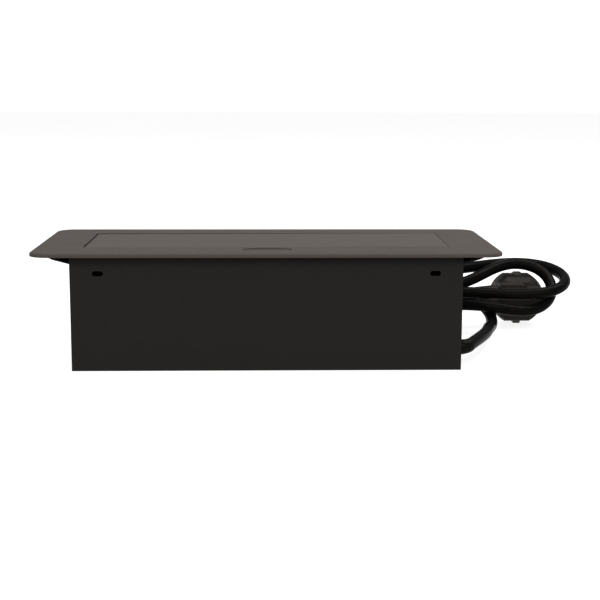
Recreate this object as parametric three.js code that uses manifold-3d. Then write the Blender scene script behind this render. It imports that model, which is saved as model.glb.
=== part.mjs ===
// Flip-lid furniture socket box: a sheet-metal box that hangs in a desk cut-out from a bevelled top
// frame, with a hinged lid over three earthed sockets and a USB charger, and a mains lead folded
// into a tied hank behind it.
//
// Millimetres, +Z up. The origin is the middle of the box's underside: X runs along the box, the lid
// opens towards +Y and the release button is on the -Y side.
import * as THREE from 'three';
import { mergeVertices } from 'three/addons/utils/BufferGeometryUtils.js';
import { NURBSCurve } from 'three/addons/curves/NURBSCurve.js';
import Module from 'manifold-3d';

const wasm = await Module();
wasm.setup();

// ---------------------------------------------------------------- driving dimensions

const GAP = 0.3;                 // clearance between neighbouring pieces
const SHEET = 1.0;               // box sheet thickness

const FRAME = { width: 268, depth: 120, corner: 11, top: 68.5, under: 66.1, bevelIn: 2.2, bevelDown: 0.9 };
const BOX = { halfX: 111.4, halfY: 53, top: 65.8, lip: 11 };
const OPENING = { left: -106.5, right: 106.6, front: -31.7, rear: 36.2 };
const LID = { left: -105.6, right: 106.2, front: -31.3, thick: 2.2, tiltDegrees: -0.13 };
const HINGE = { y: 33.4, z: 66.3, radius: 2.2, pin: 1.0, bore: 1.3 };
const BUTTON = { half: 14.4, front: -45, shoulder: -38.6, crown: -36, recess: 0.4 };
const STUD = { x: 90, y: 46.5, radius: 1.5 };
const SLOT = { x: 95.6, z: 56.1, length: 6.2, height: 2.9 };
const EAR = { reach: 124, root: 61.25, tip: 64.62, corner: 4 };

const CARRIER = { halfX: 109.5, thick: 1.2, front: -19, knee: 17.9, rear: 34, shelf: 52.3 };
const MODULE = { xs: [-76.5, -25.5, 25.5, 76.5], bezel: 50, body: 43, bezelTop: 2.8 };
const WELL = { radius: 19.7, floor: -14.9, pinX: 9.5, pinHole: 2.7 };
const SHUTTER_TRAVEL = 5.8;

const CORD = { radius: 3.7, sides: 8, steps: 80, tieX: 62 };
const PLUG = { x: 171, z: 17.9, radius: 18, flat: 15.9, faceY: 97.5, rimY: 87, rearY: 81 };

// ---------------------------------------------------------------- materials

function finish(color, roughness, metalness = 0) {
  return () => new THREE.MeshStandardMaterial({ color, roughness, metalness });
}

const powderCoat = finish(0x242322, 0.62, 0.1);
const brushedBlack = finish(0x2b2a29, 0.45, 0.5);
const blackPlastic = finish(0x17181a, 0.5);
const greyPlastic = finish(0x3a3a3c, 0.55);
const cordPvc = finish(0x0c0c0d, 0.38);
const steel = finish(0xb9bcc0, 0.32, 1);
const brass = finish(0xc9a45a, 0.34, 1);
const copperWire = {
  live: finish(0x5a3620, 0.5),
  neutral: finish(0x2c5fae, 0.5),
  earth: finish(0x5f9a34, 0.5),
};
const circuitGreen = finish(0x1d5b3a, 0.5);

// ---------------------------------------------------------------- solids and meshes

const product = new THREE.Group();

// A three.js geometry, placed by a matrix, as a solid that can be joined and cut.
function solid(geometry, matrix = new THREE.Matrix4()) {
  const bare = new THREE.BufferGeometry();
  bare.setAttribute('position', geometry.getAttribute('position').clone());
  if (geometry.index) bare.setIndex(geometry.index.clone());
  bare.applyMatrix4(matrix);
  const merged = mergeVertices(bare, 1e-4);
  return new wasm.Manifold(new wasm.Mesh({
    numProp: 3,
    vertProperties: Float32Array.from(merged.attributes.position.array),
    triVerts: Uint32Array.from(merged.index.array),
  }));
}

function geometryOf(manifold) {
  const mesh = manifold.getMesh();
  const geometry = new THREE.BufferGeometry();
  geometry.setAttribute('position', new THREE.BufferAttribute(mesh.vertProperties, 3));
  geometry.setIndex(new THREE.BufferAttribute(mesh.triVerts, 1));
  geometry.computeVertexNormals();
  return geometry;
}

function addPiece(name, manifold, material, parent = product) {
  const mesh = new THREE.Mesh(geometryOf(manifold), material());
  mesh.name = name;
  parent.add(mesh);
  return mesh;
}

function join(...parts) {
  return parts.reduce((a, b) => a.add(b));
}

function cut(body, ...tools) {
  return tools.reduce((a, b) => a.subtract(b), body);
}

// A box given by its lowest and highest corners.
function box(x0, x1, y0, y1, z0, z1) {
  const at = new THREE.Matrix4().makeTranslation((x0 + x1) / 2, (y0 + y1) / 2, (z0 + z1) / 2);
  return solid(new THREE.BoxGeometry(x1 - x0, y1 - y0, z1 - z0), at);
}

const QUARTER = Math.PI / 2;
const alongX = new THREE.Matrix4().makeRotationZ(-QUARTER);   // a cylinder's own axis is Y
const alongZ = new THREE.Matrix4().makeRotationX(QUARTER);

// A round bar from one value to another along X, Y or Z, with its axis through the other two.
function bar(axis, from, to, p, q, r, sides = 20, rEnd = r) {
  const geometry = new THREE.CylinderGeometry(rEnd, r, to - from, sides);
  const middle = (from + to) / 2;
  if (axis === 'x') {
    return solid(geometry, new THREE.Matrix4().makeTranslation(middle, p, q).multiply(alongX));
  }
  if (axis === 'y') return solid(geometry, new THREE.Matrix4().makeTranslation(p, middle, q));
  return solid(geometry, new THREE.Matrix4().makeTranslation(p, q, middle).multiply(alongZ));
}

function roundedRect(x0, x1, y0, y1, r) {
  const shape = new THREE.Shape();
  shape.moveTo(x0 + r, y0);
  shape.lineTo(x1 - r, y0);
  shape.absarc(x1 - r, y0 + r, r, -QUARTER, 0);
  shape.lineTo(x1, y1 - r);
  shape.absarc(x1 - r, y1 - r, r, 0, QUARTER);
  shape.lineTo(x0 + r, y1);
  shape.absarc(x0 + r, y1 - r, r, QUARTER, 2 * QUARTER);
  shape.lineTo(x0, y0 + r);
  shape.absarc(x0 + r, y0 + r, r, 2 * QUARTER, 3 * QUARTER);
  return shape;
}

function polygon(points) {
  return new THREE.Shape(points.map(([x, y]) => new THREE.Vector2(x, y)));
}

// An outline in X and Y, pulled up from z0 to z1.
function plate(shape, z0, z1, curveSegments = 6) {
  const geometry = new THREE.ExtrudeGeometry(shape, { depth: z1 - z0, bevelEnabled: false, curveSegments });
  return solid(geometry, new THREE.Matrix4().makeTranslation(0, 0, z0));
}

// Outlines in Y and Z pulled along X, and in X and Z pulled along Y.
const yzToWorld = new THREE.Matrix4().set(0, 0, 1, 0, 1, 0, 0, 0, 0, 1, 0, 0, 0, 0, 0, 1);
const xzToWorld = new THREE.Matrix4().set(1, 0, 0, 0, 0, 0, -1, 0, 0, 1, 0, 0, 0, 0, 0, 1);

function pullX(shape, x0, x1, curveSegments = 6) {
  const geometry = new THREE.ExtrudeGeometry(shape, { depth: x1 - x0, bevelEnabled: false, curveSegments });
  return solid(geometry, new THREE.Matrix4().makeTranslation(x0, 0, 0).multiply(yzToWorld));
}

function pullY(shape, y0, y1, curveSegments = 6) {
  const geometry = new THREE.ExtrudeGeometry(shape, { depth: y1 - y0, bevelEnabled: false, curveSegments });
  return solid(geometry, new THREE.Matrix4().makeTranslation(0, y1, 0).multiply(xzToWorld));
}

// The outline of a bent sheet of thickness t whose middle follows the points.
function sheetOutline(points, t) {
  const middle = points.map(([x, y]) => new THREE.Vector2(x, y));
  const side = (sign) => middle.map((p, i) => {
    const before = middle[Math.max(i - 1, 0)];
    const after = middle[Math.min(i + 1, middle.length - 1)];
    const inDir = (i === 0 ? after.clone().sub(p) : p.clone().sub(before)).normalize();
    const outDir = (i === middle.length - 1 ? inDir.clone() : after.clone().sub(p).normalize());
    const mitre = new THREE.Vector2(-inDir.y - outDir.y, inDir.x + outDir.x).normalize();
    const reach = (t / 2) / (mitre.x * -inDir.y + mitre.y * inDir.x);
    return p.clone().addScaledVector(mitre, sign * reach);
  });
  return new THREE.Shape([...side(1), ...side(-1).reverse()]);
}

// A wire or cord of round section along a curve.
function tube(curve, radius, sides, steps) {
  const section = new THREE.Shape();
  section.absarc(0, 0, radius, 0, 2 * Math.PI);
  return solid(new THREE.ExtrudeGeometry(section, {
    curveSegments: sides, steps, bevelEnabled: false, extrudePath: curve,
  }));
}

function polyCurve(points) {
  return new THREE.CatmullRomCurve3(points.map((p) => new THREE.Vector3(...p)));
}

// ---------------------------------------------------------------- top frame, box and end walls

function makeTopFrame() {
  const { width, depth, corner, top, under, bevelIn, bevelDown } = FRAME;
  const outline = roundedRect(-width / 2, width / 2, -depth / 2, depth / 2, corner);
  const rounded = new THREE.ExtrudeGeometry(outline, {
    depth: 4, bevelThickness: bevelDown, bevelSize: bevelIn, bevelOffset: -bevelIn, bevelSegments: 3,
    curveSegments: 7,
  });
  const slab = solid(rounded, new THREE.Matrix4().makeTranslation(0, 0, top - bevelDown - 4));
  const keep = box(-width, width, -depth, depth, under, top + 1);
  const { left, right, front, rear } = OPENING;
  const opening = plate(roundedRect(left, right, front, rear, 1), under - 5, top + 5, 3);

  // A shelf under the lid's front and side edges.
  const shelfTop = 65.8;
  const shelf = cut(
    box(left - 2, right + 2, front - 2, 28, 64.0, under + 0.2),
    box(left + 2.5, right - 2.5, front + 2.5, 29, 63, 67),
    box(left, right, front, 29, shelfTop, 67),
    box(-24, 24, front - 4, front + 4, 63, under),
  );
  const studs = [-1, 1].flatMap((sx) => [-1, 1].map(
    (sy) => bar('z', 58.5, under + 0.3, sx * STUD.x, sy * STUD.y, STUD.radius, 12)));
  const pinGrooves = [bar('x', -109.9, left + 1, HINGE.y, HINGE.z, HINGE.bore, 12),
    bar('x', right - 1, 109.9, HINGE.y, HINGE.z, HINGE.bore, 12)];
  const body = cut(slab.intersect(keep), opening, plate(buttonOutline(0), under - 5, top + 5));
  return cut(join(body, shelf, ...studs), ...pinGrooves);
}

// The release button's outline, drawn in by a clearance: straight sides and an arched rear edge.
function buttonOutline(clearance) {
  const half = BUTTON.half - clearance;
  const front = BUTTON.front + clearance;
  const shoulder = BUTTON.shoulder - clearance;
  const crown = BUTTON.crown - clearance;
  const shape = new THREE.Shape();
  shape.moveTo(-half + 1.5, front);
  shape.lineTo(half - 1.5, front);
  shape.quadraticCurveTo(half, front, half - 0.2, front + 1.5);
  shape.lineTo(half - 0.8, shoulder - 1.2);
  shape.quadraticCurveTo(half - 1.2, shoulder, half - 3.2, shoulder + 0.6);
  shape.quadraticCurveTo(0, 2 * crown - shoulder - 0.6, -half + 3.2, shoulder + 0.6);
  shape.quadraticCurveTo(-half + 1.2, shoulder, -half + 0.8, shoulder - 1.2);
  shape.lineTo(-half + 0.2, front + 1.5);
  shape.quadraticCurveTo(-half, front, -half + 1.5, front);
  return shape;
}

function makeBoxWrap() {
  const { halfX, halfY, top, lip } = BOX;
  const wall = halfY - SHEET;
  const inner = halfY - lip;
  const outline = polygon([
    [-inner, top], [-halfY, top], [-halfY, 0], [halfY, 0], [halfY, top], [inner, top],
    [inner, top - SHEET], [wall, top - SHEET], [wall, SHEET], [-wall, SHEET], [-wall, top - SHEET],
    [-inner, top - SHEET],
  ]);
  const slots = [-1, 1].map((s) => {
    const half = SLOT.length / 2;
    const r = SLOT.height / 2;
    const shape = roundedRect(s * SLOT.x - half, s * SLOT.x + half, SLOT.z - r, SLOT.z + r, r - 0.01);
    return pullY(shape, -halfY - 1, halfY + 1, 5);
  });
  const studHoles = [-1, 1].flatMap((sx) => [-1, 1].map(
    (sy) => bar('z', 60, 67, sx * STUD.x, sy * STUD.y, STUD.radius + GAP, 12)));
  const buttonNotch = box(-24, 24, -wall, -inner + 1, 64, 67);
  return cut(pullX(outline, -halfX, halfX), ...slots, ...studHoles, buttonNotch);
}

const END = { in: 110.1, out: 111.1, halfY: 51.7, bottom: SHEET + GAP };
const BOOT = { y: -36.9, z: 10, neck: 4.7 };

// One end wall with its two inner tabs and the ear that is bent out under the frame.
function makeEndWall(side) {
  const outline = polygon([
    [side * END.in, END.bottom], [side * END.out, END.bottom], [side * END.out, EAR.root],
    [side * EAR.reach, EAR.tip], [side * (EAR.reach - 0.26), EAR.tip + 0.97],
    [side * END.in, EAR.root + 0.8],
  ]);
  const wall = pullY(outline, -END.halfY, END.halfY);
  const tabs = [-1, 1].map((sy) => box(
    Math.min(side * 98, side * END.in), Math.max(side * 98, side * END.in),
    Math.min(sy * END.halfY, sy * (END.halfY - SHEET)), Math.max(sy * END.halfY, sy * (END.halfY - SHEET)),
    20, 52));
  const corners = [-1, 1].map((sy) => {
    const tip = [side * (EAR.reach + 1), sy * (END.halfY + 1)];
    const c = EAR.corner + 1;
    return plate(polygon([tip, [tip[0] - side * c, tip[1]], [tip[0], tip[1] - sy * c]]), 60, 67);
  });
  const body = cut(join(wall, ...tabs), ...corners);
  return side < 0 ? body : cut(body, bar('x', 105, 115, BOOT.y, BOOT.z, BOOT.neck + GAP, 20));
}

function addHousing() {
  addPiece('top_frame', makeTopFrame(), powderCoat);
  addPiece('box_wrap', makeBoxWrap(), powderCoat);
  addPiece('end_wall_left', makeEndWall(-1), powderCoat);
  addPiece('end_wall_right', makeEndWall(1), powderCoat);
  let number = 0;
  for (const sy of [-1, 1]) {
    for (const sx of [-1, 1]) {
      number += 1;
      const nut = cut(
        bar('z', 62.0, BOX.top - SHEET - GAP, sx * STUD.x, sy * STUD.y, 3.1, 6),
        bar('z', 60, 66, sx * STUD.x, sy * STUD.y, STUD.radius + GAP, 12));
      addPiece(`frame_nut_${number}`, nut, steel);
    }
  }
}

// ---------------------------------------------------------------- lid and hinge

function addLid() {
  const { left, right, front, thick, tiltDegrees } = LID;
  const outline = roundedRect(left, right, front, HINGE.y, 0.8);
  const pressed = new THREE.ExtrudeGeometry(outline, {
    depth: thick - 0.5, bevelThickness: 0.25, bevelSize: 0.25, bevelOffset: -0.25, bevelSegments: 1,
    curveSegments: 2,
  });
  // The lid sits a touch askew in its opening, low on the left and proud on the right.
  const tilt = new THREE.Matrix4().makeRotationY(THREE.MathUtils.degToRad(tiltDegrees));
  const place = new THREE.Matrix4().makeTranslation(0, 0, FRAME.top - thick + 0.25).multiply(tilt);
  const panel = solid(pressed, place);
  const roll = bar('x', left + 0.2, right - 0.2, HINGE.y, HINGE.z, HINGE.radius, 20);
  const bores = [bar('x', left - 1, left + 8, HINGE.y, HINGE.z, HINGE.bore, 12),
    bar('x', right - 8, right + 1, HINGE.y, HINGE.z, HINGE.bore, 12)];
  addPiece('lid', cut(join(panel, roll), ...bores), brushedBlack);
  addPiece('lid_keeper', box(-9, 9, -29, -22.5, 65.35, 65.95), steel);

  for (const [name, side, edge] of [['left', -1, LID.left], ['right', 1, LID.right]]) {
    const inner = edge - side * 7;
    const outer = side * 109.6;
    const pin = bar('x', Math.min(inner, outer), Math.max(inner, outer), HINGE.y, HINGE.z, HINGE.pin, 12);
    addPiece(`hinge_pin_${name}`, pin, steel);
    const clipIn = side * 107.0;
    const clip = cut(
      box(Math.min(clipIn, outer), Math.max(clipIn, outer), 28.5, 40, 63.0, FRAME.under - GAP),
      bar('x', -120, 120, HINGE.y, HINGE.z, HINGE.bore, 12));
    addPiece(`hinge_clip_${name}`, clip, steel);
  }
}

// ---------------------------------------------------------------- release button and its catch

function addButton() {
  const top = FRAME.top - BUTTON.recess;
  const cap = plate(buttonOutline(GAP), 64, top);
  const skirt = box(-17, 17, -47, -34.2, 64.2, FRAME.under - GAP);
  const stem = bar('z', 61.6, 64.5, 0, -41, 4.2, 16);
  const arm = box(-7, 7, -40, -23, 61.6, 62.9);
  const button = join(cap, skirt, stem, arm);
  addPiece('release_button', button, blackPlastic);
  addPiece('catch_magnet', box(-6, 6, -28.4, -23.2, 63.2, 65.05), steel);

  const coils = 4;
  const low = 55.6;
  const high = 61.0;
  const radius = 2.6;
  class Helix extends THREE.Curve {
    getPoint(t, target = new THREE.Vector3()) {
      const angle = 2 * Math.PI * coils * t;
      const z = low + (high - low) * t;
      return target.set(radius * Math.cos(angle), -41 + radius * Math.sin(angle), z);
    }
  }
  addPiece('button_spring', tube(new Helix(), 0.3, 5, coils * 10), steel);

  const guide = cut(
    box(-22, 22, -49.5, -32.6, 54.0, FRAME.under - GAP),
    box(-18, 18, -48, -33.9, 55.2, 67),
    box(-9, 9, -36, -30, 58.6, 67),
  );
  addPiece('button_guide', guide, blackPlastic);
}

// ---------------------------------------------------------------- carrier plate and its modules

const slope = Math.atan2(CARRIER.shelf - CARRIER.knee, CARRIER.rear - CARRIER.front);
const carrierMiddle = new THREE.Vector3(
  0, (CARRIER.front + CARRIER.rear) / 2, (CARRIER.knee + CARRIER.shelf) / 2);
const carrierTop = new THREE.Matrix4()
  .makeTranslation(carrierMiddle.x, carrierMiddle.y, carrierMiddle.z)
  .multiply(new THREE.Matrix4().makeRotationX(slope))
  .multiply(new THREE.Matrix4().makeTranslation(0, 0, CARRIER.thick / 2));

function onCarrier(x) {
  return carrierTop.clone().multiply(new THREE.Matrix4().makeTranslation(x, 0, 0));
}

function addCarrier() {
  const { halfX, thick, front, knee, rear, shelf } = CARRIER;
  const foot = SHEET + GAP + thick / 2;
  const back = BOX.halfY - 2 * (SHEET + GAP) - thick / 2;
  const wirePass = box(91, 105, front - 4, front + 14, -1, 8);
  const outline = sheetOutline([
    [front + 11, foot], [front, foot], [front, knee], [rear, shelf], [back, shelf], [back, shelf - 9],
  ], thick);
  const half = MODULE.body / 2 + GAP;
  const holes = MODULE.xs.map((x) => box(-half, half, -half, half, -3, 3).transform(columns(onCarrier(x))));
  addPiece('socket_carrier', cut(pullX(outline, -halfX, halfX), ...holes, wirePass), powderCoat);
}

// The 16 numbers of a matrix, column by column, as the solid library takes them.
function columns(matrix) {
  return Array.from(matrix.elements);
}

function squareSection(size, r = 3) {
  return roundedRect(-size / 2, size / 2, -size / 2, size / 2, r);
}

function roundHole(x, y, r) {
  const hole = new THREE.Path();
  hole.absarc(x, y, r, 0, 2 * Math.PI, true);
  return hole;
}

const STRAP = { half: 3, y: 17.7, thick: 0.8, low: -25.3 };
const strapSlots = (z0, z1) => [-1, 1].map((s) => box(
  -STRAP.half - GAP, STRAP.half + GAP, s * STRAP.y - 0.4 - GAP, s * STRAP.y + 0.4 + GAP, z0, z1));

// One earthed socket: front with its well, shutter, rear base, two contact sleeves and the earth strap.
function addSocket(number, x) {
  const place = new THREE.Group();
  place.applyMatrix4(onCarrier(x));
  product.add(place);
  const name = (piece) => `socket_${number}_${piece}`;

  const bezelShape = squareSection(MODULE.bezel, 4);
  bezelShape.holes.push(roundHole(0, 0, WELL.radius));
  const barrelShape = squareSection(MODULE.body);
  barrelShape.holes.push(roundHole(0, 0, WELL.radius));
  const floorShape = squareSection(MODULE.body);
  floorShape.holes.push(roundHole(-WELL.pinX, 0, WELL.pinHole), roundHole(WELL.pinX, 0, WELL.pinHole));
  const floorLow = WELL.floor - 2;
  const pocketLow = floorLow - 2.6;
  const guides = [-1, 1].map((s) => cut(
    box(Math.min(s * 17.4, s * 20.5), Math.max(s * 17.4, s * 20.5), -2.4, 2.4, WELL.floor - 0.5, 1.2)));
  const front = cut(
    join(
      plate(bezelShape, GAP, MODULE.bezelTop, 10),
      plate(barrelShape, WELL.floor - 0.2, GAP + 0.2, 10),
      plate(floorShape, floorLow, WELL.floor, 6),
      cut(
        plate(squareSection(MODULE.body), pocketLow, floorLow + 0.1),
        box(-19.4, 13.6, -5, 5, -30, floorLow)),
      ...guides,
    ),
    ...strapSlots(-30, WELL.floor + 0.5),
  );
  addPiece(name('front'), front, blackPlastic, place);

  const shutterTop = floorLow - GAP;
  const shutterShape = roundedRect(-13, 12.8, -4.4, 4.4, 0.6);
  shutterShape.holes.push(roundHole(-WELL.pinX + SHUTTER_TRAVEL, 0, WELL.pinHole + 0.1));
  addPiece(name('shutter'), plate(shutterShape, shutterTop - 1.6, shutterTop, 4), greyPlastic, place);

  const baseTop = pocketLow - GAP;
  const base = cut(
    join(
      plate(squareSection(MODULE.body), -24, baseTop),
      plate(roundedRect(-16, 16, -7, 7, 2), -35.5, -23.9),
    ),
    bar('z', -34.6, 0, -WELL.pinX, 0, 3.9, 16),
    bar('z', -34.6, 0, WELL.pinX, 0, 3.9, 16),
    ...strapSlots(-30, 0),
    box(-STRAP.half - GAP, STRAP.half + GAP, -8, 8, -26, -23),
  );
  addPiece(name('base'), base, blackPlastic, place);

  for (const [hand, s] of [['left', -1], ['right', 1]]) {
    const profile = [[2.5, -34], [3.5, -34], [3.5, -21], [2.7, -20.5], [2.5, -22], [2.5, -34]];
    const sleeve = solid(
      new THREE.LatheGeometry(profile.map(([r, z]) => new THREE.Vector2(r, z)), 14),
      new THREE.Matrix4().makeTranslation(s * WELL.pinX, 0, 0).multiply(alongZ));
    addPiece(name(`contact_${hand}`), sleeve, brass, place);
  }

  const y = STRAP.y;
  const strap = sheetOutline([
    [-y - 0.4, -2.5], [-y + 1.4, -6], [-y, -11], [-y, STRAP.low], [y, STRAP.low], [y, -11],
    [y - 1.4, -6], [y + 0.4, -2.5],
  ], STRAP.thick);
  addPiece(name('earth_strap'), pullX(strap, -STRAP.half, STRAP.half), steel, place);
}

function addUsbCharger(x) {
  const place = new THREE.Group();
  place.applyMatrix4(onCarrier(x));
  product.add(place);
  const ports = [-7, 7];
  const depth = -12;
  const housing = cut(
    join(
      plate(squareSection(MODULE.bezel, 4), GAP, MODULE.bezelTop),
      plate(squareSection(MODULE.body), -21, GAP + 0.2),
    ),
    box(-19.5, 19.5, -19.5, 19.5, -22, depth - 2),
    ...ports.map((y) => box(-7.3, 7.3, y - 3.5, y + 3.5, -30, 5)),
  );
  addPiece('usb_housing', housing, blackPlastic, place);
  ports.forEach((y, i) => {
    const shell = cut(
      box(-7, 7, y - 3.2, y + 3.2, -14, MODULE.bezelTop - 0.4),
      box(-6.3, 6.3, y - 2.5, y + 2.5, depth, 5),
    );
    const tongue = box(-5.6, 5.6, y + 0.2, y + 1.9, depth - 1, -0.5);
    addPiece(`usb_port_${i + 1}`, join(shell, tongue), steel, place);
  });
  const board = join(
    box(-20.5, 20.5, -20.5, 20.5, -23.1, -21.5 + 0.2 - GAP),
    box(-14, -4, -12, 12, -29, -23),
    box(4, 12, -10, 4, -27, -23),
  );
  addPiece('usb_board', board, circuitGreen, place);
}

// ---------------------------------------------------------------- terminals and inner wiring

const TERMINAL = { x: 86, pitch: 8, y: -36, z: SHEET + GAP };

function addTerminals() {
  const { x, pitch, y, z } = TERMINAL;
  const clamps = [-1, 0, 1].flatMap((i) => [
    bar('x', x - 8, x + 8, y + i * pitch, z + 5, 2.2, 10),
    bar('z', z + 5, z + 14, x, y + i * pitch, 1.8, 10)]);
  addPiece('terminal_block', cut(box(x - 6, x + 6, y - 12.5, y + 12.5, z, z + 11), ...clamps), greyPlastic);

  const { front } = CARRIER;
  const cover = cut(
    box(76.5, END.in - GAP, -END.halfY + SHEET + 0.6, front - 1, z, 24),
    box(78, END.in + 2, -END.halfY + SHEET + 2.1, front - 2.5, -1, 22.5),
    box(91, 105, front - 4, front + 2, -1, 8),
  );
  addPiece('terminal_cover', cover, greyPlastic);
}

function addWires() {
  const { x, pitch, y, z } = TERMINAL;
  const far = MODULE.xs[0];
  const runs = { live: 47, neutral: 42, earth: 37 };
  Object.keys(runs).forEach((kind, i) => {
    const terminalY = y + (i - 1) * pitch;
    const lane = runs[kind];
    const pass = x + 16 - 4 * i;
    const route = polyCurve([
      [x + 7, terminalY, z + 5], [x + 11 - 2 * i, terminalY + 1.5, z + 4.6], [pass, terminalY + 8, 5],
      [pass, -19, 4.4], [pass, -10, 4.2], [pass, 0, 3.4], [pass, 14, 3.2], [pass, 24, 3.6],
      [pass - 7, lane - 4, 5], [pass - 24, lane, 6], [20, lane, 6], [-30, lane, 6], [far, lane, 7]]);
    addPiece(`wire_${kind}`, tube(route, 1.3, 6, 30), copperWire[kind]);
  });
}

// ---------------------------------------------------------------- mains lead, boot, plug and tie

// Five points of a fold of the hank that turns up (or down) at its left end.
function leftFold(x, y, z, radius, turnsUp) {
  const degrees = turnsUp ? [270, 230, 190, 150, 110] : [90, 130, 170, 210, 250];
  return degrees.map((d) => {
    const a = THREE.MathUtils.degToRad(d);
    return [x + radius * Math.cos(a), y, z + radius * Math.sin(a)];
  });
}

const cordRoute = [
  // from the boot, round behind the box
  [119.5, -33, 10.6], [127, -20, 11.6], [136, 0, 11.6], [139.5, 18, 12], [144.5, 39, 5.5],
  [149, 53.5, 10.5], [143, 64, 19], [128, 68.5, 22],
  // first run, to the left
  [110, 68.5, 16.4], [82, 67, 9.4], [54, 66.8, 5.6], [24, 66.8, 4.1],
  ...leftFold(-6, 67, 32.4, 28.2, true),
  // back to the right through the tie
  [12, 67, 59], [30, 66, 48], [48, 66, 31.5], [68, 66.7, 23.5], [98, 66.7, 25.5], [122, 67.4, 28.4],
  // inner right-hand loop, over the plug and back in front of it
  [139, 71.5, 33.5], [154, 82.5, 39.8], [169, 90, 42.1], [184, 87.5, 39.4], [192.8, 79, 31],
  [189.6, 64, 20.8], [177, 53.4, 15], [161, 50, 15.5], [142, 48, 20],
  // second run, to the left
  [120, 58, 18.8], [92, 58.4, 15.4], [62, 58.6, 9], [28, 58, 4.6],
  ...leftFold(-4, 58, 30.6, 26.6, true),
  // back to the right through the tie
  [14, 58, 54.6], [32, 57.7, 43], [50, 58.6, 27], [72, 58.5, 18.8], [98, 57.7, 25], [126, 57.5, 27.4],
  // outer right-hand loop, round the plug
  [148, 57, 26], [167, 55, 25.4], [185, 55, 26.6], [199, 64, 30.2], [202.5, 84, 34], [194, 99, 38],
  [177.5, 105.5, 39.8], [160, 100, 39.8], [144.5, 88, 39.8], [128, 77, 39.6],
  // third run, to the left
  [108, 70, 37.6], [88, 65.5, 35], [68, 64.4, 33.5], [50, 70.4, 39.8], [32, 76, 48.2],
  ...leftFold(4, 75.8, 30.6, 27, false),
  // last run, to the plug
  [22, 75.8, 3.4], [44, 74, 10.5], [68, 72.4, 18.4], [98, 75.5, 20.8], [126, 78, 21],
];

function cordCurve() {
  const degree = 3;
  const inside = cordRoute.length - degree;
  const knots = [
    ...Array(degree).fill(0),
    ...Array.from({ length: inside + 1 }, (_, i) => i),
    ...Array(degree).fill(inside),
  ];
  return new NURBSCurve(degree, knots, cordRoute.map((p) => new THREE.Vector4(...p, 1)));
}

// The outline that a band pulled round a set of points takes.
function hull(points) {
  const sorted = [...points].sort((a, b) => a.x - b.x || a.y - b.y);
  const half = (list) => {
    const chain = [];
    for (const p of list) {
      while (chain.length > 1) {
        const [a, b] = chain.slice(-2);
        if ((b.x - a.x) * (p.y - a.y) - (b.y - a.y) * (p.x - a.x) > 0) break;
        chain.pop();
      }
      chain.push(p);
    }
    return chain.slice(0, -1);
  };
  return [...half(sorted), ...half(sorted.reverse())];
}

// A band round every run of the lead near x = CORD.tieX.
function makeTie(curve) {
  const crossings = curve.getPoints(1200).filter((p) => Math.abs(p.x - CORD.tieX) < 3.4);
  const round = (reach) => hull(crossings.flatMap((p) => Array.from({ length: 16 }, (_, i) => {
    const a = (2 * Math.PI * i) / 16;
    return new THREE.Vector2(p.y + reach * Math.cos(a), p.z + reach * Math.sin(a));
  })));
  const band = new THREE.Shape(round(CORD.radius + 1.15));
  band.holes.push(new THREE.Path(round(CORD.radius + 0.45)));
  return pullX(band, CORD.tieX - 2.2, CORD.tieX + 2.2);
}

// A moulded neck that leaves the end wall square and turns towards the lead: balls joined by cones.
function makeBoot() {
  const [start, next] = cordRoute.map((p) => new THREE.Vector3(...p));
  const leaving = next.clone().sub(start).normalize();
  const tip = start.clone().addScaledVector(leaving, -GAP);
  const spine = new THREE.CubicBezierCurve3(
    new THREE.Vector3(END.out - 2, BOOT.y, BOOT.z), new THREE.Vector3(END.out + 3.5, BOOT.y, BOOT.z),
    tip.clone().addScaledVector(leaving, -4), tip);
  const count = 5;
  const places = spine.getPoints(count);
  const radius = (i) => 4.8 - 0.8 * (i / count);
  const parts = places.slice(1).flatMap((to, i) => {
    const from = places[i];
    const along = to.clone().sub(from);
    const turn = new THREE.Quaternion().setFromUnitVectors(
      new THREE.Vector3(0, 1, 0), along.clone().normalize());
    const middle = from.clone().addScaledVector(along, 0.5);
    const cone = solid(
      new THREE.CylinderGeometry(radius(i + 1), radius(i), along.length(), 18),
      new THREE.Matrix4().compose(middle, turn, new THREE.Vector3(1, 1, 1)));
    if (i === 0) return [cone];
    const ball = new THREE.SphereGeometry(radius(i), 18, 12);
    return [cone, solid(ball, new THREE.Matrix4().compose(from, turn, new THREE.Vector3(1, 1, 1)))];
  });
  const turn = new THREE.Quaternion().setFromUnitVectors(new THREE.Vector3(0, 1, 0), leaving);
  const beyondTip = solid(
    new THREE.BoxGeometry(20, 20, 20),
    new THREE.Matrix4().compose(tip.clone().addScaledVector(leaving, 10), turn, new THREE.Vector3(1, 1, 1)));
  const outside = cut(join(...parts), box(90, END.out + GAP, -80, 0, -20, 40), beyondTip);
  return join(
    outside,
    bar('x', 106.5, END.out + 1.5, BOOT.y, BOOT.z, BOOT.neck, 20),
    bar('x', 105.5, END.in - GAP, BOOT.y, BOOT.z, 5.8, 20),
  );
}

// The plug's front part: a disc with a flat above and below, coned down towards the grip.
function makePlugDisc() {
  const { x, z, radius, flat, faceY, rimY, rearY } = PLUG;
  const a = Math.asin(flat / radius);
  const outline = new THREE.Shape();
  outline.absarc(x, z, radius, -a, a);
  outline.absarc(x, z, radius, Math.PI - a, Math.PI + a);
  const cone = rimY - rearY;
  const geometry = new THREE.ExtrudeGeometry(outline, {
    depth: faceY - rimY + 2, bevelThickness: cone, bevelSize: 4.2, bevelOffset: -4.2, bevelSegments: 2,
    curveSegments: 12,
  });
  const disc = solid(geometry, new THREE.Matrix4().makeTranslation(0, faceY + 2, 0).multiply(xzToWorld));
  return cut(disc, box(x - 30, x + 30, faceY, faceY + 20, z - 30, z + 30));
}

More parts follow.
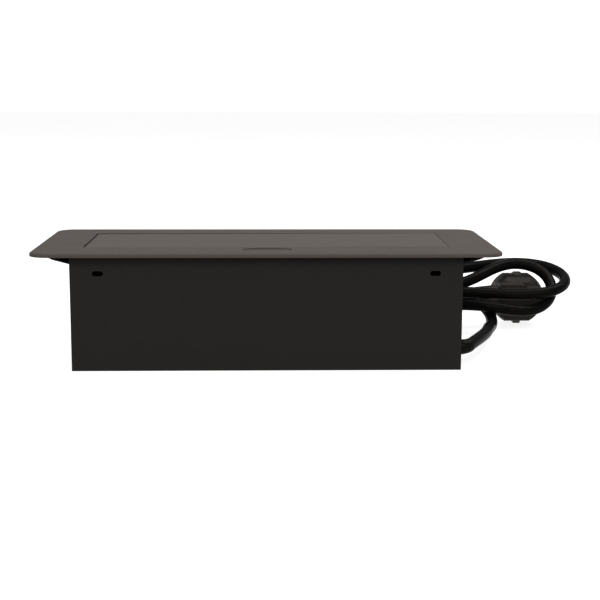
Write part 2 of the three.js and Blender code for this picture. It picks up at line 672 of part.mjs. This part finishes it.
// The grip's outline from behind: flat on top, bowed below.
function gripOutline() {
  const { x } = PLUG;
  const shape = new THREE.Shape();
  shape.moveTo(x - 16, 20);
  shape.quadraticCurveTo(x - 3, 13.4, x + 12.5, 20.6);
  shape.lineTo(x + 12.5, 25);
  shape.quadraticCurveTo(x + 12.5, 27.5, x + 10, 27.5);
  shape.lineTo(x - 14, 27.5);
  shape.quadraticCurveTo(x - 16, 27.5, x - 16, 25.5);
  return shape;
}

function addPlug() {
  const { x, z, flat, faceY, rimY } = PLUG;
  const leadY = 78;
  const leadZ = 21;
  const grooves = [-1, 1].map((s) => box(x + s * 18.4 - 1.8, x + s * 18.4 + 1.8, rimY - 1, faceY + 1,
    z - 2.6, z + 2.6));
  const grip = pullY(gripOutline(), 68, rimY + 1, 6);
  const heel = pullY(roundedRect(x - 16, x + 11, z - 10.5, 20, 5), 75.5, rimY, 5);
  const block = pullY(roundedRect(x - 15.8, x + 3.2, z - 6, 29.6, 1.8), 70, rimY + 1.5, 3);
  const neck = bar('x', 141, x - 12, leadY, leadZ + 0.5, 5.6, 24, 7.4);
  const relief = bar('x', 126.7, 142, leadY, leadZ, 4.5, 20, 5.4);
  const ribs = [129.5, 133, 136.5].map((at) => bar('x', at, at + 1.7, leadY, leadZ, 5.2, 20));
  const clipPockets = [-1, 1].map((s) => box(x - 2.9, x + 2.9, rimY - 0.5, faceY + 1,
    Math.min(s * (flat - 1), s * (flat + 1)) + z, Math.max(s * (flat - 1), s * (flat + 1)) + z));
  const pinSockets = [-1, 1].map((s) => bar('y', faceY - 3, faceY + 1, x + s * WELL.pinX, z, 2.7, 16));
  const body = cut(
    join(makePlugDisc(), grip, heel, block, neck, relief, ...ribs), ...grooves, ...clipPockets,
    ...pinSockets);
  addPiece('plug_body', body, blackPlastic);

  for (const [name, s] of [['left', -1], ['right', 1]]) {
    const px = x + s * WELL.pinX;
    const pin = join(
      bar('y', faceY - 2.7, faceY + 17, px, z, 2.4, 16),
      bar('y', faceY + 16.9, faceY + 19, px, z, 2.4, 16, 1.3));
    addPiece(`plug_pin_${name}`, pin, steel);
  }
  for (const [name, s] of [['top', 1], ['bottom', -1]]) {
    const profile = (from, to, y0, y1, half) => box(x - half, x + half, y0, y1,
      Math.min(s * from, s * to) + z, Math.max(s * from, s * to) + z);
    const clip = join(
      profile(flat - 0.7, flat + 0.6, rimY, faceY - 0.4, 2.5),
      profile(flat + 0.2, flat + 1.6, rimY + 0.4, faceY - 4, 2.3));
    addPiece(`plug_earth_${name}`, clip, brass);
  }
}

function addLead() {
  const curve = cordCurve();
  addPiece('mains_cord', tube(curve, CORD.radius, CORD.sides, CORD.steps), cordPvc);
  addPiece('cord_boot', makeBoot(), blackPlastic);
  addPiece('cord_tie', makeTie(curve), blackPlastic);
  addPlug();
}

// ---------------------------------------------------------------- assembly

addHousing();
addLid();
addButton();
addCarrier();
MODULE.xs.slice(0, 3).forEach((x, i) => addSocket(i + 1, x));
addUsbCharger(MODULE.xs[3]);
addTerminals();
addWires();
addLead();

export default product;
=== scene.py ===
"""Looks for the flip-lid desk socket box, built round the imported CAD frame.

Metres, +Z up, the CAD's own frame: X along the box, the lid opens towards +Y.
"""
import math

import bpy
from mathutils import Matrix, Vector


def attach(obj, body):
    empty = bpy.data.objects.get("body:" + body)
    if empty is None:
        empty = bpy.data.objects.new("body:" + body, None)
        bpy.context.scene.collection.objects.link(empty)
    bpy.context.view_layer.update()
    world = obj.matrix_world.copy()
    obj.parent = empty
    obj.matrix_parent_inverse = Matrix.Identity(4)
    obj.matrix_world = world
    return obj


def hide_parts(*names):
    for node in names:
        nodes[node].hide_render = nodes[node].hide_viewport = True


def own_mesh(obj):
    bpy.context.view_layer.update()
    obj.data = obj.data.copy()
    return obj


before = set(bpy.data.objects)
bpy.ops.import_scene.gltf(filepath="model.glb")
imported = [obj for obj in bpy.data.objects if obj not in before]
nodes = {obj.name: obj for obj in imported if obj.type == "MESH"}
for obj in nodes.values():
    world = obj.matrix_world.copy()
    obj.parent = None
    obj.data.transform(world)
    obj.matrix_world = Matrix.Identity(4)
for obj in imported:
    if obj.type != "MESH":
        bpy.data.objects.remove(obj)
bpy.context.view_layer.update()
scene = bpy.context.scene
MM = 0.001


# ---------------------------------------------------------------- camera

CAMERA_PLACE = (-2.0, -764.8, 164.0)
CAMERA_YAW = 0.0290
CAMERA_PITCH = 0.1711
CAMERA_ROLL = -0.0030
CAMERA_LENS = 76.35


def make_camera():
    """Camera in front of the long side, a little above it and looking slightly down."""
    yaw, pitch, roll = CAMERA_YAW, CAMERA_PITCH, CAMERA_ROLL
    side = Vector((math.cos(yaw), -math.sin(yaw), 0))
    rise = Vector((math.sin(pitch) * math.sin(yaw), math.sin(pitch) * math.cos(yaw), math.cos(pitch)))
    ahead = Vector((math.sin(yaw) * math.cos(pitch), math.cos(yaw) * math.cos(pitch), -math.sin(pitch)))
    right = side * math.cos(roll) - rise * math.sin(roll)
    up = side * math.sin(roll) + rise * math.cos(roll)
    data = bpy.data.cameras.new("camera")
    data.sensor_width = 36
    data.lens = CAMERA_LENS
    data.clip_end = 20
    camera = bpy.data.objects.new("camera", data)
    turn = Matrix((right, up, -ahead)).transposed().to_4x4()
    camera.matrix_world = Matrix.Translation(Vector(CAMERA_PLACE) * MM) @ turn
    scene.collection.objects.link(camera)
    scene.camera = camera


make_camera()


# ---------------------------------------------------------------- mains lead

CORD_DIAMETER = 7.4


def left_fold(x, y, z, radius, turns_up):
    """Five points of a fold of the hank at its left end."""
    degrees = (270, 230, 190, 150, 110) if turns_up else (90, 130, 170, 210, 250)
    return [(x + radius * math.cos(math.radians(d)), y, z + radius * math.sin(math.radians(d)))
            for d in degrees]


cord_route = [
    # from the boot, round behind the box
    (119.5, -33, 10.6), (127, -20, 11.6), (136, 0, 11.6), (139.5, 18, 12), (144.5, 39, 5.5),
    (149, 53.5, 10.5), (143, 64, 19), (128, 68.5, 22),
    # first run, to the left
    (110, 68.5, 16.4), (82, 67, 9.4), (54, 66.8, 5.6), (24, 66.8, 4.1),
    *left_fold(-6, 67, 32.4, 28.2, True),
    # back to the right through the tie
    (12, 67, 59), (30, 66, 48), (48, 66, 31.5), (68, 66.7, 23.5), (98, 66.7, 25.5), (122, 67.4, 28.4),
    # inner right-hand loop, over the plug and back in front of it
    (139, 71.5, 33.5), (154, 82.5, 39.8), (169, 90, 42.1), (184, 87.5, 39.4), (192.8, 79, 31),
    (189.6, 64, 20.8), (177, 53.4, 15), (161, 50, 15.5), (142, 48, 20),
    # second run, to the left
    (120, 58, 18.8), (92, 58.4, 15.4), (62, 58.6, 9), (28, 58, 4.6),
    *left_fold(-4, 58, 30.6, 26.6, True),
    # back to the right through the tie
    (14, 58, 54.6), (32, 57.7, 43), (50, 58.6, 27), (72, 58.5, 18.8), (98, 57.7, 25), (126, 57.5, 27.4),
    # outer right-hand loop, round the plug
    (148, 57, 26), (167, 55, 25.4), (185, 55, 26.6), (199, 64, 30.2), (202.5, 84, 34), (194, 99, 38),
    (177.5, 105.5, 39.8), (160, 100, 39.8), (144.5, 88, 39.8), (128, 77, 39.6),
    # third run, to the left
    (108, 70, 37.6), (88, 65.5, 35), (68, 64.4, 33.5), (50, 70.4, 39.8), (32, 76, 48.2),
    *left_fold(4, 75.8, 30.6, 27, False),
    # last run, to the plug
    (22, 75.8, 3.4), (44, 74, 10.5), (68, 72.4, 18.4), (98, 75.5, 20.8), (126, 78, 21),
]


def make_cord():
    """The lead: one smooth curve through its whole route."""
    data = bpy.data.curves.new("mains_lead", "CURVE")
    data.dimensions = "3D"
    data.resolution_u = 10
    data.bevel_depth = 1.0
    data.bevel_resolution = 6
    data.use_fill_caps = True
    spline = data.splines.new("NURBS")
    spline.points.add(len(cord_route) - 1)
    for point, place in zip(spline.points, cord_route):
        point.co = (*(c * MM for c in place), 1)
        point.radius = CORD_DIAMETER / 2 * MM
    spline.order_u = 4
    spline.use_endpoint_u = True
    cord = bpy.data.objects.new("mains_lead", data)
    scene.collection.objects.link(cord)
    return cord


mains_lead = make_cord()
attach(mains_lead, "box")
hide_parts("mains_cord")


# ---------------------------------------------------------------- return spring


def make_spring():
    """The button's return spring, copied from the CAD coil and fixed to the box."""
    coil = nodes["button_spring"]
    data = coil.data.copy()
    data.transform(coil.matrix_world)
    spring = bpy.data.objects.new("return_spring", data)
    scene.collection.objects.link(spring)
    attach(spring, "box")
    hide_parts("button_spring")
    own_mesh(spring)
    return spring


return_spring = make_spring()


# ---------------------------------------------------------------- materials

class Look:
    """A material and its node tree, with short ways to add nodes.

    Patterns are in the piece's own coordinates, in metres, so a scale of 1500 gives grains of 0.7 mm.
    """

    def __init__(self, name):
        self.material = bpy.data.materials.new(name)
        self.material.use_nodes = True
        self.tree = self.material.node_tree
        self.shader = self.tree.nodes["Principled BSDF"]
        self.place = self.node("ShaderNodeTexCoord").outputs["Object"]

    def node(self, kind, **settings):
        made = self.tree.nodes.new(kind)
        for key, value in settings.items():
            setattr(made, key, value)
        return made

    def link(self, a, b):
        self.tree.links.new(a, b)

    def scaled(self, scale):
        mapping = self.node("ShaderNodeMapping")
        mapping.inputs["Scale"].default_value = scale
        self.link(self.place, mapping.inputs["Vector"])
        return mapping.outputs["Vector"]

    def noise(self, scale, detail=2.0, stretch=(1, 1, 1), roughness=0.5):
        made = self.node("ShaderNodeTexNoise")
        made.inputs["Scale"].default_value = scale
        made.inputs["Detail"].default_value = detail
        made.inputs["Roughness"].default_value = roughness
        self.link(self.scaled(stretch), made.inputs["Vector"])
        return made.outputs["Fac"]

    def cells(self, scale):
        made = self.node("ShaderNodeTexVoronoi")
        made.inputs["Scale"].default_value = scale
        self.link(self.place, made.inputs["Vector"])
        return made.outputs["Distance"]

    def ramp(self, value, low, high, start=0.0, end=1.0):
        made = self.node("ShaderNodeMapRange")
        made.inputs["From Min"].default_value = start
        made.inputs["From Max"].default_value = end
        made.inputs["To Min"].default_value = low
        made.inputs["To Max"].default_value = high
        self.link(value, made.inputs["Value"])
        return made.outputs["Result"]

    def add(self, a, b, share=0.5):
        made = self.node("ShaderNodeMath", operation="MULTIPLY_ADD")
        self.link(b, made.inputs[0])
        made.inputs[1].default_value = share
        self.link(a, made.inputs[2])
        return made.outputs[0]

    def colours(self, value, dark, light, start=0.3, end=0.7):
        made = self.node("ShaderNodeValToRGB")
        made.color_ramp.elements[0].position = start
        made.color_ramp.elements[0].color = (*dark, 1)
        made.color_ramp.elements[1].position = end
        made.color_ramp.elements[1].color = (*light, 1)
        self.link(value, made.inputs["Fac"])
        self.link(made.outputs["Color"], self.shader.inputs["Base Color"])

    def rough(self, value, low, high, start=0.3, end=0.7):
        self.link(self.ramp(value, low, high, start, end), self.shader.inputs["Roughness"])

    def bump(self, height, depth, strength=1.0):
        made = self.node("ShaderNodeBump")
        made.inputs["Strength"].default_value = strength
        made.inputs["Distance"].default_value = depth
        self.link(height, made.inputs["Height"])
        self.link(made.outputs["Normal"], self.shader.inputs["Normal"])

    def set(self, **values):
        for key, value in values.items():
            self.shader.inputs[key.replace("_", " ")].default_value = value
        return self


WARM = (1.0, 0.88, 0.8, 1.0)


def powder_coat(name, dark, light, specular):
    """Fine textured powder coat: sand-like grain with faint clouding."""
    look = Look(name)
    sand = look.add(look.cells(1500), look.noise(2600, 3), 0.7)
    clouds = look.noise(22, 3)
    look.colours(look.add(sand, clouds, 0.6), dark, light, 0.45, 1.1)
    look.rough(look.add(clouds, look.noise(1900, 2), 0.5), 0.5, 0.68, 0.4, 1.1)
    look.bump(sand, 0.00012, 0.55)
    look.set(Specular_IOR_Level=specular, Specular_Tint=WARM)
    return look.material


def brushed_lid():
    """Satin black sheet, brushed along its length."""
    look = Look("brushed_lid")
    streaks = look.noise(1.0, 5, (16, 2600, 900), 0.65)
    broad = look.noise(1.0, 3, (6, 260, 90), 0.6)
    look.colours(
        look.add(streaks, broad, 0.5), (0.0215, 0.0177, 0.0151), (0.0405, 0.0333, 0.0284), 0.55, 0.95)
    look.rough(look.add(streaks, broad, 0.6), 0.42, 0.6, 0.5, 1.1)
    look.bump(streaks, 0.00004, 0.5)
    look.set(Specular_IOR_Level=0.1, Specular_Tint=WARM)
    return look.material


def moulded(name, dark, light, rough=(0.4, 0.55), specular=0.4, grain=1700):
    """Moulded plastic with a fine spark-eroded skin and faint flow marks."""
    look = Look(name)
    skin = look.add(look.cells(grain), look.noise(grain * 1.6, 2), 0.5)
    flow = look.noise(60, 3, (1, 1, 1.6))
    look.colours(look.add(flow, skin, 0.3), dark, light, 0.4, 1.0)
    look.rough(look.add(flow, skin, 0.4), *rough, 0.4, 1.1)
    look.bump(skin, 0.00003, 0.4)
    look.set(Specular_IOR_Level=specular, Specular_Tint=WARM)
    return look.material


def cord_sheath():
    """Soft PVC sheath: satin, with faint scuffs and the long, slight waviness of the cores."""
    look = Look("cord_sheath")
    scuffs = look.noise(420, 4, (1, 1, 1), 0.6)
    lay = look.noise(90, 2)
    look.colours(look.add(scuffs, lay, 0.5), (0.001, 0.001, 0.001), (0.0026, 0.0025, 0.0024), 0.5, 1.0)
    look.rough(look.add(scuffs, lay, 0.7), 0.26, 0.36, 0.5, 1.1)
    look.bump(look.add(lay, scuffs, 0.15), 0.00003, 0.25)
    look.set(Specular_IOR_Level=0.014, Specular_Tint=WARM)
    return look.material


def metal(name, dark, light, rough=(0.25, 0.42), stretch=(1, 1, 1), scale=900):
    """Plated or bare metal with drawn or tumbled marks."""
    look = Look(name)
    marks = look.noise(scale, 4, stretch, 0.6)
    tint = look.noise(120, 2)
    look.colours(look.add(tint, marks, 0.5), dark, light, 0.45, 1.0)
    look.rough(look.add(marks, tint, 0.4), *rough, 0.4, 1.0)
    look.bump(marks, 0.000012, 0.4)
    look.set(Metallic=1.0)
    return look.material


coat_frame = powder_coat("coat_frame", (0.0182, 0.0154, 0.0136), (0.0346, 0.0293, 0.026), 0.05)
coat_box = powder_coat("coat_box", (0.0049, 0.0045, 0.0041), (0.0096, 0.0087, 0.008), 0.02)
coat_ear = powder_coat("coat_ear", (0.002, 0.0019, 0.0018), (0.004, 0.0038, 0.0036), 0.05)
lid_finish = brushed_lid()
black_plastic = moulded("black_plastic", (0.010, 0.010, 0.011), (0.018, 0.018, 0.019))
socket_plastic = moulded(
    "socket_plastic", (0.013, 0.013, 0.014), (0.022, 0.022, 0.023), (0.35, 0.5), 0.45, 1300)
plug_plastic = moulded(
    "plug_plastic", (0.0072, 0.0064, 0.0058), (0.014, 0.0125, 0.0113), (0.42, 0.56), 0.1, 1400)
button_plastic = moulded(
    "button_plastic", (0.0182, 0.0154, 0.0136), (0.0346, 0.0293, 0.026), (0.52, 0.66), 0.05, 1500)
grey_plastic = moulded("grey_plastic", (0.10, 0.10, 0.105), (0.15, 0.15, 0.155), (0.4, 0.5))
pvc = cord_sheath()
boot_pvc = moulded("boot_pvc", (0.0015, 0.0015, 0.0015), (0.0035, 0.0034, 0.0032), (0.3, 0.42), 0.03)
zinc = metal("zinc_plate", (0.5, 0.5, 0.51), (0.72, 0.72, 0.73))
nickel = metal("nickel_plate", (0.62, 0.6, 0.56), (0.8, 0.78, 0.74), (0.16, 0.3), (1, 1, 6), 500)
dull_metal = metal("dull_metal", (0.034, 0.031, 0.028), (0.064, 0.058, 0.052), (0.42, 0.58))
brass = metal("brass", (0.52, 0.36, 0.12), (0.76, 0.56, 0.24), (0.22, 0.36))
board = moulded("solder_mask", (0.02, 0.1, 0.04), (0.035, 0.15, 0.06), (0.3, 0.4), 0.5)
sheath_brown = moulded("core_brown", (0.06, 0.022, 0.01), (0.1, 0.04, 0.02), (0.35, 0.45))
sheath_blue = moulded("core_blue", (0.015, 0.06, 0.3), (0.03, 0.1, 0.42), (0.35, 0.45))
sheath_green = moulded("core_green", (0.09, 0.26, 0.02), (0.16, 0.38, 0.05), (0.35, 0.45))

finishes = {
    "top_frame": coat_frame, "box_wrap": coat_box, "end_wall_left": coat_ear, "end_wall_right": coat_ear,
    "lid": lid_finish, "lid_keeper": zinc, "release_button": button_plastic, "catch_magnet": nickel,
    "button_guide": black_plastic, "socket_carrier": coat_box,
    "usb_housing": socket_plastic, "usb_port_1": nickel, "usb_port_2": nickel, "usb_board": board,
    "terminal_block": grey_plastic, "terminal_cover": grey_plastic, "wire_live": sheath_brown,
    "wire_neutral": sheath_blue, "wire_earth": sheath_green, "cord_boot": boot_pvc,
    "cord_tie": boot_pvc, "plug_body": plug_plastic, "plug_pin_left": nickel, "plug_pin_right": nickel,
    "plug_earth_top": dull_metal, "plug_earth_bottom": dull_metal,
}
for number in range(1, 5):
    finishes[f"frame_nut_{number}"] = zinc
for hand in ("left", "right"):
    finishes[f"hinge_pin_{hand}"] = zinc
    finishes[f"hinge_clip_{hand}"] = zinc
for number in range(1, 4):
    finishes.update({
        f"socket_{number}_front": socket_plastic, f"socket_{number}_shutter": grey_plastic,
        f"socket_{number}_base": black_plastic, f"socket_{number}_contact_left": brass,
        f"socket_{number}_contact_right": brass, f"socket_{number}_earth_strap": nickel})

mains_lead.data.materials.append(pvc)


def put_on(obj, material):
    """The material alone on the piece."""
    obj.data.materials.clear()
    obj.data.materials.append(material)


for name, material in finishes.items():
    put_on(nodes[name], material)
put_on(return_spring, zinc)
for face in return_spring.data.polygons:
    face.use_smooth = True


# ---------------------------------------------------------------- softened edges on the CAD pieces

# in millimetres; the rest get SMALL_EDGE
SMALL_EDGE = 0.15
edge_widths = {"top_frame": 0.25, "box_wrap": 0.35, "end_wall_left": 0.25, "end_wall_right": 0.25, "lid": 0.2,
               "release_button": 0.25, "plug_body": 0.6, "cord_boot": 0.3, "cord_tie": 0.2}
no_edges = {"wire_live", "wire_neutral", "wire_earth"}
for name, node in nodes.items():
    if name in ("mains_cord", "button_spring"):
        continue
    weld = node.modifiers.new("weld", "WELD")
    weld.merge_threshold = 0.00001
    if name not in no_edges:
        plain = node.modifiers.new("plain_faces", "DECIMATE")
        plain.decimate_type = "DISSOLVE"
        plain.angle_limit = math.radians(1)
        bevel = node.modifiers.new("soft_edges", "BEVEL")
        bevel.width = edge_widths.get(name, SMALL_EDGE) * MM
        bevel.segments = 2
        bevel.limit_method = "ANGLE"
        bevel.angle_limit = math.radians(32)
        bevel.use_clamp_overlap = True
        even = node.modifiers.new("flat_faces", "WEIGHTED_NORMAL")
        even.mode = "FACE_AREA"
        even.weight = 80
    for face in node.data.polygons:
        face.use_smooth = True


# ---------------------------------------------------------------- floor and light

def make_floor():
    data = bpy.data.meshes.new("floor")
    data.from_pydata([(-6, -6, 0), (6, -6, 0), (6, 6, 0), (-6, 6, 0)], [], [(0, 1, 2, 3)])
    floor = bpy.data.objects.new("floor", data)
    floor.location.z = -0.0002
    scene.collection.objects.link(floor)
    look = Look("floor")  # mostly its own light, so it stays white without lighting the box from below
    look.colours(look.noise(3, 2), (0.19, 0.19, 0.19), (0.21, 0.21, 0.21))
    look.set(Roughness=0.9, Specular_IOR_Level=0.1, Emission_Color=(1, 1, 1, 1), Emission_Strength=0.85)
    floor.data.materials.append(look.material)


def area_light(name, place, target, size, power):
    """A rectangular light at place, facing target."""
    data = bpy.data.lights.new(name, "AREA")
    data.shape = "RECTANGLE"
    data.size, data.size_y = size
    data.energy = power
    light = bpy.data.objects.new(name, data)
    light.location = place
    aim = Vector(target) - Vector(place)
    light.rotation_euler = aim.to_track_quat("-Z", "Y").to_euler()
    scene.collection.objects.link(light)


make_floor()
area_light("overhead", (0, 0.1, 1.8), (0, 0, 0), (3.0, 2.0), 38)
area_light("front", (0, -1.6, 1.1), (0, 0, 0.04), (2.4, 1.0), 50)
area_light("strip", (0.5, 0.15, 1.1), (0.15, 0, 0.03), (0.08, 0.9), 14)


def make_world():
    """White round the horizon, where the backdrop shows, and dimmer higher up."""
    world = bpy.data.worlds.new("studio")
    scene.world = world
    world.use_nodes = True
    tree = world.node_tree
    place = tree.nodes.new("ShaderNodeTexCoord")
    parts = tree.nodes.new("ShaderNodeSeparateXYZ")
    fade = tree.nodes.new("ShaderNodeMapRange")
    fade.inputs["From Min"].default_value = 0.1
    fade.inputs["From Max"].default_value = 0.19
    fade.inputs["To Min"].default_value = 1.15
    fade.inputs["To Max"].default_value = 0.45
    tree.links.new(place.outputs["Generated"], parts.inputs["Vector"])
    tree.links.new(parts.outputs["Z"], fade.inputs["Value"])
    tree.links.new(fade.outputs["Result"], tree.nodes["Background"].inputs["Strength"])
    tree.nodes["Background"].inputs["Color"].default_value = (1, 1, 1, 1)


make_world()
scene.view_settings.view_transform = "Standard"
